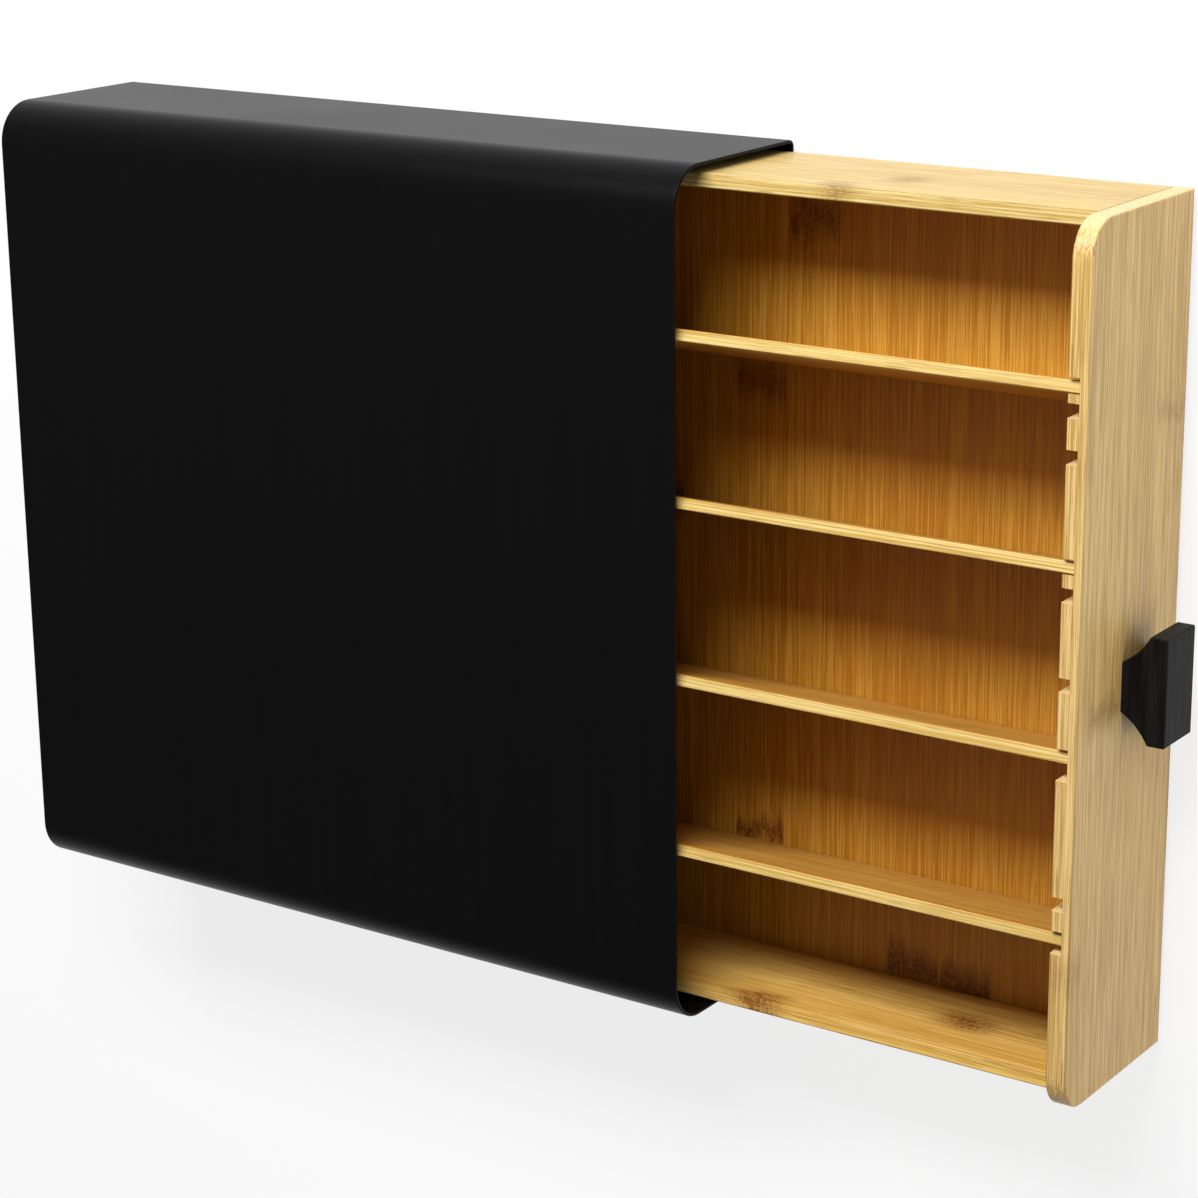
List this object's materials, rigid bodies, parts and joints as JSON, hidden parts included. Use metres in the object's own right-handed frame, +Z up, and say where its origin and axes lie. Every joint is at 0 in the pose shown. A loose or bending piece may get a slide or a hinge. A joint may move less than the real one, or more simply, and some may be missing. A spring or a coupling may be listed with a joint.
{
  "type": "coffee capsule holder",
  "caption": "Flat black steel sleeve with a bamboo drawer for coffee capsules: leaning loose dividers in slotted boards, a small dark knob, and a plate on top for a machine.",
  "frame": {"origin": "centre of the sleeve's footprint on the counter, in the plane of the feet's undersides", "axes": "+X across to the user's right, -Y out of the drawer's mouth towards the user, +Z up through the top plate"},
  "size_m": [0.3, 0.4635, 0.077],
  "materials": {
    "black_steel": "satin black powder coat on bent steel sheet",
    "bamboo": "oiled laminated bamboo with fine fibres and darker nodes",
    "stained_wood": "black stained wood with fine open grain",
    "rubber": "matt black rubber",
    "screw_steel": "zinc plated steel"
  },
  "bodies": {
    "sleeve": {"sleeve": "black_steel", "back_panel": "black_steel", "foot_front_left": "rubber", "foot_front_right": "rubber", "foot_rear_left": "rubber", "foot_rear_right": "rubber"},
    "drawer": {"drawer_floor": "bamboo", "drawer_front": "bamboo", "drawer_back": "bamboo", "drawer_side_left": "bamboo", "drawer_side_right": "bamboo", "knob": "stained_wood", "knob_screw_lower": "screw_steel", "knob_screw_upper": "screw_steel"},
    "divider_1": {"divider_1": "bamboo"},
    "divider_2": {"divider_2": "bamboo"},
    "divider_3": {"divider_3": "bamboo"},
    "divider_4": {"divider_4": "bamboo"}
  },
  "joints": [
    {"name": "drawer_slide", "type": "slide", "parent": "sleeve", "child": "drawer", "axis": [0, -1, 0], "range_m": [-0.148, 0.11]},
    {"name": "divider_1_lift", "type": "slide", "parent": "drawer", "child": "divider_1", "axis": [0.2924, 0, 0.9563], "range_m": [0, 0.0015]},
    {"name": "divider_2_lift", "type": "slide", "parent": "drawer", "child": "divider_2", "axis": [0.2924, 0, 0.9563], "range_m": [0, 0.0015]},
    {"name": "divider_3_lift", "type": "slide", "parent": "drawer", "child": "divider_3", "axis": [0.2924, 0, 0.9563], "range_m": [0, 0.0015]},
    {"name": "divider_4_lift", "type": "slide", "parent": "drawer", "child": "divider_4", "axis": [0.2924, 0, 0.9563], "range_m": [0, 0.0015]}
  ]
}
